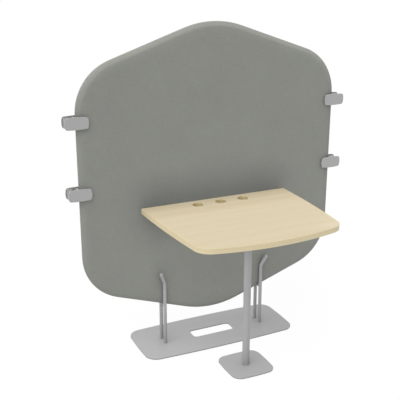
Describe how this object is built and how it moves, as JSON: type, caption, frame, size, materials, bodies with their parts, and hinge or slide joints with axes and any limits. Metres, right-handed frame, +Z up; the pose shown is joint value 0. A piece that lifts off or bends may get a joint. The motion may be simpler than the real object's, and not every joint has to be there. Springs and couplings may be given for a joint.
{
  "type": "desk with privacy screen",
  "caption": "Small single-leg desk with a bowed maple top fixed to a tall padded hexagonal privacy screen, which drops between upright rods on a heavy floor plate.",
  "frame": {"origin": "on the floor, at the middle of the whole object's footprint", "axes": "+Z up, +Y from the sitter towards the screen, +X to the sitter's right"},
  "size_m": [1.406, 0.801, 1.5349],
  "materials": {
    "stand_paint": "satin grey powder coat",
    "clip_paint": "satin grey powder coat",
    "screen_cloth": "woven grey cloth",
    "screen_foam": "soft foam",
    "core_board": "raw board",
    "maple_board": "satin pale maple",
    "maple_edging": "satin pale maple edging",
    "zinc_steel": "bright zinc",
    "insert_brass": "turned",
    "floor_rubber": "matte black",
    "liner_felt": "pale grey felt"
  },
  "bodies": {
    "stand": {"base_plate": "stand_paint", "base_floor_pads": "floor_rubber", "rod_screws": "zinc_steel", "front_rod_left": "stand_paint", "front_rod_right": "stand_paint", "rear_rod_left": "stand_paint", "rear_rod_right": "stand_paint", "cradle_bar_left": "stand_paint", "cradle_bar_right": "stand_paint"},
    "screen_and_desk": {"bracket_bolts": "zinc_steel", "bracket_screws": "zinc_steel", "desk_bracket_left": "zinc_steel", "desk_bracket_right": "zinc_steel", "desktop_board": "maple_board", "desktop_edging": "maple_edging", "desktop_rear_edging": "maple_edging", "foot_bolt": "zinc_steel", "foot_floor_pads": "floor_rubber", "foot_plate": "stand_paint", "leg_plug": "zinc_steel", "leg_top_plate": "zinc_steel", "leg_top_screws": "zinc_steel", "leg_tube": "stand_paint", "screen_core": "core_board", "screen_front_cover": "screen_cloth", "screen_front_pad": "screen_foam", "screen_inserts": "insert_brass", "screen_rear_cover": "screen_cloth", "screen_rear_pad": "screen_foam"},
    "clip_upper_left": {"clip_upper_left_front_plate": "clip_paint", "clip_upper_left_liners": "liner_felt", "clip_upper_left_rear_plate": "clip_paint", "clip_upper_left_screws": "zinc_steel", "clip_upper_left_web": "clip_paint"},
    "clip_upper_right": {"clip_upper_right_front_plate": "clip_paint", "clip_upper_right_liners": "liner_felt", "clip_upper_right_rear_plate": "clip_paint", "clip_upper_right_screws": "zinc_steel", "clip_upper_right_web": "clip_paint"},
    "clip_lower_left": {"clip_lower_left_front_plate": "clip_paint", "clip_lower_left_liners": "liner_felt", "clip_lower_left_rear_plate": "clip_paint", "clip_lower_left_screws": "zinc_steel", "clip_lower_left_web": "clip_paint"},
    "clip_lower_right": {"clip_lower_right_front_plate": "clip_paint", "clip_lower_right_liners": "liner_felt", "clip_lower_right_rear_plate": "clip_paint", "clip_lower_right_screws": "zinc_steel", "clip_lower_right_web": "clip_paint"}
  },
  "joints": [
    {"name": "screen_lift", "type": "slide", "parent": "stand", "child": "screen_and_desk", "axis": [0, 0, 1], "range_m": [0, 0.18]},
    {"name": "clip_upper_left_pull", "type": "slide", "parent": "screen_and_desk", "child": "clip_upper_left", "axis": [-1, 0, 0], "range_m": [0, 0.058]},
    {"name": "clip_upper_right_pull", "type": "slide", "parent": "screen_and_desk", "child": "clip_upper_right", "axis": [1, 0, 0], "range_m": [0, 0.058]},
    {"name": "clip_lower_left_pull", "type": "slide", "parent": "screen_and_desk", "child": "clip_lower_left", "axis": [-1, 0, 0], "range_m": [0, 0.058]},
    {"name": "clip_lower_right_pull", "type": "slide", "parent": "screen_and_desk", "child": "clip_lower_right", "axis": [1, 0, 0], "range_m": [0, 0.058]}
  ]
}
